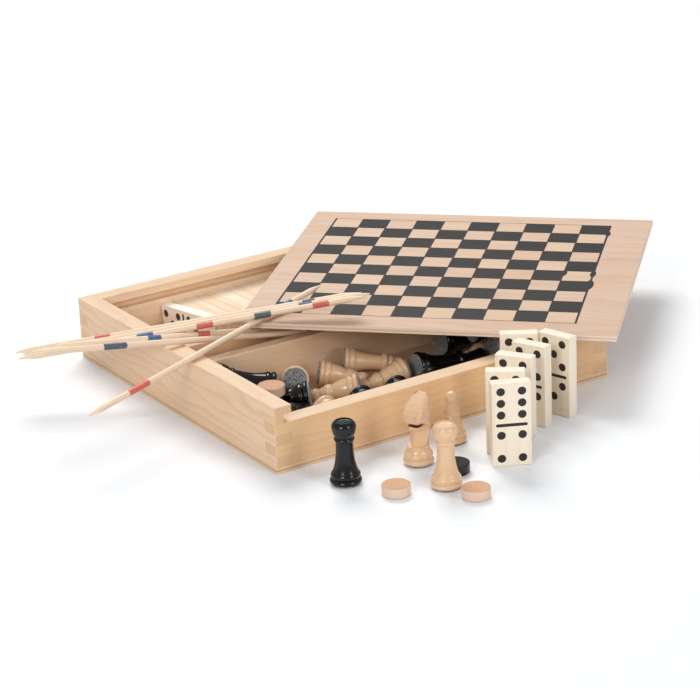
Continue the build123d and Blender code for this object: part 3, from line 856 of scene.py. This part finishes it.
tanLooks = {
    "pale": tone(232, 202, 180),
    "dark": tone(216, 180, 154),
    "facePale": tone(208, 160, 124),
    "faceDark": tone(184, 134, 98),
    "flatFaces": (0.5, 0.9),
    "lines": 0.9,
    "wander": 2.5,
    "contrast": 0.3,
    "fibre": 0.7,
    "patches": 0.4,
    "smooth": 0.50,
    "worn": 0.62,
    "dust": 0.0,
    "gloss": 0.35,
    "relief": (0.00006, 0.6),
}


def tanMaterial(looks):
    material, tree, shader = newMaterial("tanDraughts")
    place = grainSpace(tree, (0.6, 0.8, 0), upward)
    level = maths(tree, "ABSOLUTE", normalAlong(tree, upward))
    flat = rampBetween(tree, level, *looks["flatFaces"])
    plainWood(tree, shader, place, {
        **looks, "pale": mixColours(tree, flat, looks["pale"], looks["facePale"]),
        "dark": mixColours(tree, flat, looks["dark"], looks["faceDark"])})
    return material


dress(tanMaterial(tanLooks), "light_draught_left", "light_draught_right",
      "bay_light_draught", "stacked_light_draughts")

blackLooks = {
    "lacquer": tone(9, 9, 12),
    "dustColour": tone(60, 60, 64),
    "ripple": 1.6,  # size of the lacquer's unevenness
    "smooth": 0.12,
    "worn": 0.24,
    "dust": 0.05,
    "gloss": 0.45,
    "relief": (0.00004, 0.5),
}


def blackMaterial(looks):
    material, tree, shader = newMaterial("blackLacquer")
    place = grainSpace(tree, upward, (1, 0, 0))
    wear = addWear(tree, shader, place, looks)
    colour = mixColours(tree, wear["Dust"], looks["lacquer"], looks["dustColour"])
    plug(tree, colour, shader.inputs["Base Color"])
    ripples = useGroup(tree, "Speckle", {"Vector": place, "Grain Size": looks["ripple"]})
    bumpInto(tree, shader, ripples["Height"], *looks["relief"])
    return material


dress(blackMaterial(blackLooks), "black_rook", "black_draught", "stacked_black_draughts",
      "bay_black_bishops", "bay_black_king", "bay_black_knights", "bay_black_pawns",
      "bay_black_queen", "bay_black_rook")

feltLooks = {
    "pale": tone(168, 168, 166),
    "dark": tone(52, 52, 54),
    "grainSize": 0.55,
    "amount": 1.0,
    "roughness": 0.88,
    "darkRougher": 0.1,
    "gloss": 0.15,
    "sheen": 0.3,
    "relief": (0.0003, 0.8),
}


def speckled(tree, shader, looks):
    place = grainSpace(tree, (1, 0, 0), (0, 1, 0))
    fuzz = useGroup(tree, "Speckle", {
        "Vector": place, "Pale": looks["pale"], "Dark": looks["dark"],
        "Grain Size": looks["grainSize"], "Amount": looks["amount"]})
    plug(tree, fuzz["Color"], shader.inputs["Base Color"])
    rough = maths(tree, "MULTIPLY_ADD", fuzz["Mask"], looks["darkRougher"], looks["roughness"])
    plug(tree, rough, shader.inputs["Roughness"])
    bumpInto(tree, shader, fuzz["Height"], *looks["relief"])


def feltMaterial(looks):
    material, tree, shader = newMaterial("speckledFelt")
    speckled(tree, shader, looks)
    shader.inputs["Specular IOR Level"].default_value = looks["gloss"]
    shader.inputs["Sheen Weight"].default_value = looks["sheen"]
    return material


dress(feltMaterial(feltLooks), "black_rook_felt", "light_rook_felt", "light_pawn_felt",
      "light_knight_felt", "bay_felt_pads")
print("turned pieces: light wood, draughts, black lacquer, felt")


# dominoes

dominoLooks = {
    "pale": tone(246, 234, 214),
    "dark": tone(234, 210, 180),
    "firstLitPale": tone(255, 250, 238),  # the file's first domino is painted whiter, as painted light on its shaded face
    "firstLitDark": tone(248, 232, 212),
    "filedPale": (tone(247, 233, 212), tone(238, 212, 182)),
    "filedDark": (tone(236, 208, 178), tone(222, 182, 144)),
    "filedContrast": 0.45,
    "filedShift": (400, 60, 60),  # how far apart the filed dominoes' boards were
    "lines": 0.22,
    "wander": 2.5,
    "contrast": 0.35,
    "fibre": 0.3,
    "patches": 0.6,
    "smooth": 0.38,
    "worn": 0.5,
    "dust": 0.0,
    "gloss": 0.35,
    "relief": (0.00004, 0.5),
    "pipPaint": {
        "pale": tone(24, 21, 20),
        "dark": tone(52, 44, 40),
        "grainSize": 0.8,
        "amount": 0.6,
        "roughness": 0.35,
        "darkRougher": 0.2,
        "relief": (0.00003, 0.5),
    },
    "pipRadius": 1.95,
    "pipShoulder": 0.8,
    "pipSides": 24,
    "pipDome": 0.05,
    "paintEdge": 0.004,
    "column": 4.8,
    "rows": (4.88, 10.48, 16.08),
    "barHalf": 7.2,
    "barWidth": 1.5,
    "barShoulder": (0.985, 0.7),  # along the bar and across it
    "barSteps": 8,
    "thickness": 6.0,
    # heading, pips on the upper half and on the lower half
    "standing": {
        "domino_1": (-26.9, 6, 4),
        "domino_2": (-38.1, 6, 5),
        "domino_3": (-58.6, 5, 2),
        "domino_4": (-68.7, 4, 3),
        "domino_5": (-73.7, 5, 3),
        "domino_6": (-35.0, 4, 1),
    },
    "firstFiled": (4.6, 5.0, 5, 3),  # turn, tip, pips on both halves
    "filePitch": 6.11,
    "fileTurn": 3.0,
    "fileStart": 500.0,  # the file's dominoes are counted from this far to the left
}


def dominoMaterial(name, along, across, looks, filed=False):
    material, tree, shader = newMaterial(name)
    place = grainSpace(tree, along, across)
    if filed:
        # every domino in the file comes from its own board
        turn = radians(looks["fileTurn"])
        offset = vectorMaths(tree, "DOT_PRODUCT", ownPlace(tree), (cos(turn), sin(turn), 0))
        offset = maths(tree, "ADD", offset, looks["fileStart"] / perMetre)
        count = maths(tree, "DIVIDE", offset, looks["filePitch"] / perMetre)
        number = maths(tree, "FLOOR", count)
        chance = addNode(tree, "TexWhiteNoise", {"W": number}, noise_dimensions="1D").outputs
        spread = vectorMaths(tree, "MULTIPLY", chance["Color"], looks["filedShift"])
        place = vectorMaths(tree, "ADD", place, spread)
        looks = {**looks, "contrast": looks["filedContrast"],
                 "pale": mixColours(tree, chance["Value"], *looks["filedPale"]),
                 "dark": mixColours(tree, chance["Value"], *looks["filedDark"])}
    plainWood(tree, shader, place, looks)
    return material


def pipMaterial(looks):
    material, tree, shader = newMaterial("pipPaint")
    speckled(tree, shader, looks)
    return material


def pipPlaces(count, sign, looks):
    c = looks["column"]
    near, middle, far = looks["rows"]
    sets = {
        1: [(0, middle)],
        2: [(-c, near), (c, far)],
        3: [(-c, near), (0, middle), (c, far)],
        4: [(-c, near), (c, near), (-c, far), (c, far)],
        5: [(-c, near), (c, near), (0, middle), (-c, far), (c, far)],
        6: [(-c, near), (c, near), (-c, middle), (c, middle), (-c, far), (c, far)],
    }
    return [(x * sign, y * sign) for x, y in sets[count]]


def addBand(builder, outer, inner):
    for k in range(len(outer)):
        after = (k + 1) % len(outer)
        builder.faces.new((outer[k], outer[after], inner[after], inner[k]))


def addPip(builder, x, y, looks):
    # a low painted dome: a rim on the face, a ring inside it and a middle
    sides, radius, dome = looks["pipSides"], looks["pipRadius"], looks["pipDome"]
    shoulder = looks["pipShoulder"]
    angles = [2 * pi * k / sides for k in range(sides)]
    rim, ring = (
        [builder.verts.new((x + reach * cos(a), y + reach * sin(a), height)) for a in angles]
        for reach, height in ((radius, looks["paintEdge"]), (radius * shoulder, dome * shoulder)))
    middle = builder.verts.new((x, y, dome))
    addBand(builder, rim, ring)
    for k in range(sides):
        builder.faces.new((ring[k], ring[(k + 1) % sides], middle))


def addBar(builder, looks):
    halfLength, halfWidth, steps = looks["barHalf"], looks["barWidth"] / 2, looks["barSteps"]
    outline = []
    for end in (1, -1):
        for k in range(steps + 1):
            a = -pi / 2 + pi * k / steps
            outline.append((end * (halfLength - halfWidth) + end * halfWidth * cos(a),
                            end * halfWidth * sin(a)))
    shorter, narrower = looks["barShoulder"]
    rim = [builder.verts.new((x, y, looks["paintEdge"])) for x, y in outline]
    ring = [builder.verts.new((x * shorter, y * narrower, looks["pipDome"])) for x, y in outline]
    addBand(builder, rim, ring)
    builder.faces.new(ring)


def pipsFor(node, body, width, length, upper, lower, looks, material):
    low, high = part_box(node)
    middle = (low + high) / 2
    outward = width.cross(length).normalized()
    builder = bmesh.new()
    for x, y in pipPlaces(upper, 1, looks) + pipPlaces(lower, -1, looks):
        addPip(builder, x, y, looks)
    addBar(builder, looks)
    face = Matrix((width, length, outward)).transposed().to_4x4()
    origin = middle + outward * (looks["thickness"] / 2) / perMetre
    builder.transform(Matrix.Translation(origin) @ face @ Matrix.Scale(1 / perMetre, 4))
    mesh = bpy.data.meshes.new(node + "_pips")
    builder.to_mesh(mesh)
    builder.free()
    for polygon in mesh.polygons:
        polygon.use_smooth = True
    pips = bpy.data.objects.new(node + "_pips", mesh)
    scene.collection.objects.link(pips)
    mesh.materials.append(material)
    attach(pips, body)


def makeDominoes(looks):
    paint = pipMaterial(looks["pipPaint"])
    for node, (heading, upper, lower) in looks["standing"].items():
        a = radians(heading)
        width = Vector((cos(a), sin(a), 0))
        dress(dominoMaterial(node + "Wood", upward, width, looks), node)
        pipsFor(node, node + "_body", width, Vector(upward), upper, lower, looks, paint)
    turn = radians(looks["fileTurn"])
    fileAlong = (-sin(turn), cos(turn), 0)
    filedWood = dominoMaterial("filedDominoWood", fileAlong, upward, looks, filed=True)
    dress(filedWood, "filed_dominoes")
    yaw, tip, upper, lower = looks["firstFiled"]
    yaw, tip = radians(yaw), radians(tip)
    length = Vector((-sin(yaw) * cos(tip), cos(yaw) * cos(tip), -sin(tip)))
    height = Vector((-sin(yaw) * sin(tip), cos(yaw) * sin(tip), cos(tip)))
    # painted light: the first domino's wood is painted whiter than the rest of the file
    paintedLitFirst = {**looks, "pale": looks["firstLitPale"], "dark": looks["firstLitDark"]}
    dress(dominoMaterial("firstDominoLitWood", length, height, paintedLitFirst), "bay_domino")
    pipsFor("bay_domino", "case", height, length, upper, lower, looks, paint)


makeDominoes(dominoLooks)
print("dominoes: wood, pips and bars")


# pick-up sticks

stickLooks = {
    "pale": tone(240, 217, 190),
    "dark": tone(214, 176, 144),
    "red": tone(212, 104, 92),
    "blue": tone(66, 98, 142),
    "slate": tone(80, 94, 110),
    "green": tone(84, 102, 98),
    "brown": tone(120, 104, 92),
    "lines": 0.7,
    "wander": 2.0,
    "contrast": 0.45,
    "fibre": 0.5,
    "patches": 0.5,
    "frayScale": 0.8,
    "fray": 0.9,  # how ragged the bands' ends are
    "rubNoise": (0.7, 3.0, 0.7),
    "paintLeft": (0.18, 0.42),
    "roughness": 0.52,
    "paintSmoother": -0.12,
    "gloss": 0.35,
    "relief": (0.00005, 0.6),
    # heading, pitch, bands as (start, end, colour) in millimetres from the stick's middle
    "sticks": {
        "stick_into_channel_back": (-3.3, -8.1, [(-34.2, -27.3, "blue"), (-7.5, -1.0, "red")]),
        "stick_into_channel_front": (-1.2, -9.2, [
            (-49.5, -37.4, "slate"), (62.0, 74.0, "slate")]),
        "stick_diagonal": (19.46, 3.4, [(-59.1, -45.4, "red"), (50.0, 61.0, "blue")]),
        "stick_crossing_front": (-28.5, 6.8, [
            (-50.2, -42.2, "red"), (-27.2, -19.2, "blue"), (2.1, 10.1, "red"),
            (30.3, 38.3, "green"), (58.8, 66.8, "red")]),
        "stick_crossing_middle": (-28.5, 6.6, [(-72.0, -66.0, "brown"), (50.0, 56.5, "slate")]),
        "stick_crossing_back": (-28.5, 6.4, [(-46.0, -38.5, "red"), (56.0, 62.0, "slate")]),
    },
    "channel": (0.0, 0.0, [
        (-83, -76, "slate"), (-4, 3, "red"), (20, 27, "slate"), (52, 59, "blue")]),
}


def stickMaterial(name, centre, heading, pitch, bands, looks):
    material, tree, shader = newMaterial(name)
    turn, rise = radians(heading), radians(pitch)
    along = (cos(turn) * cos(rise), sin(turn) * cos(rise), sin(rise))
    place = grainSpace(tree, along, (-sin(turn), cos(turn), 0), centre)
    grain = woodGrain(tree, place, looks)
    ragged = maths(tree, "SUBTRACT", noiseAt(tree, place, looks["frayScale"]), 0.5)
    ragged = maths(tree, "MULTIPLY", ragged, looks["fray"])
    reach = maths(tree, "ADD", splitAxes(tree, place)["X"], ragged)
    left = rampBetween(tree, noiseAt(tree, place, *looks["rubNoise"]), *looks["paintLeft"])
    colour = grain["Color"]
    painted = 0.0
    for start, end, paint in bands:
        band = maths(tree, "COMPARE", reach, (start + end) / 2, (end - start) / 2)
        band = maths(tree, "MULTIPLY", band, left)
        colour = mixColours(tree, band, colour, looks[paint])
        painted = maths(tree, "MAXIMUM", painted, band)
    plug(tree, colour, shader.inputs["Base Color"])
    rough = maths(tree, "MULTIPLY_ADD", painted, looks["paintSmoother"], looks["roughness"])
    plug(tree, rough, shader.inputs["Roughness"])
    shader.inputs["Specular IOR Level"].default_value = looks["gloss"]
    bumpInto(tree, shader, grain["Height"], *looks["relief"])
    return material


def dressStick(node, name, heading, pitch, bands, looks):
    low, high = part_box(node)
    dress(stickMaterial(name, (low + high) / 2, heading, pitch, bands, looks), node)


for node, values in stickLooks["sticks"].items():
    dressStick(node, node + "Wood", *values, stickLooks)
dressStick("channel_sticks", "channelStickWood", *stickLooks["channel"], stickLooks)
print("sticks: birch with painted bands")
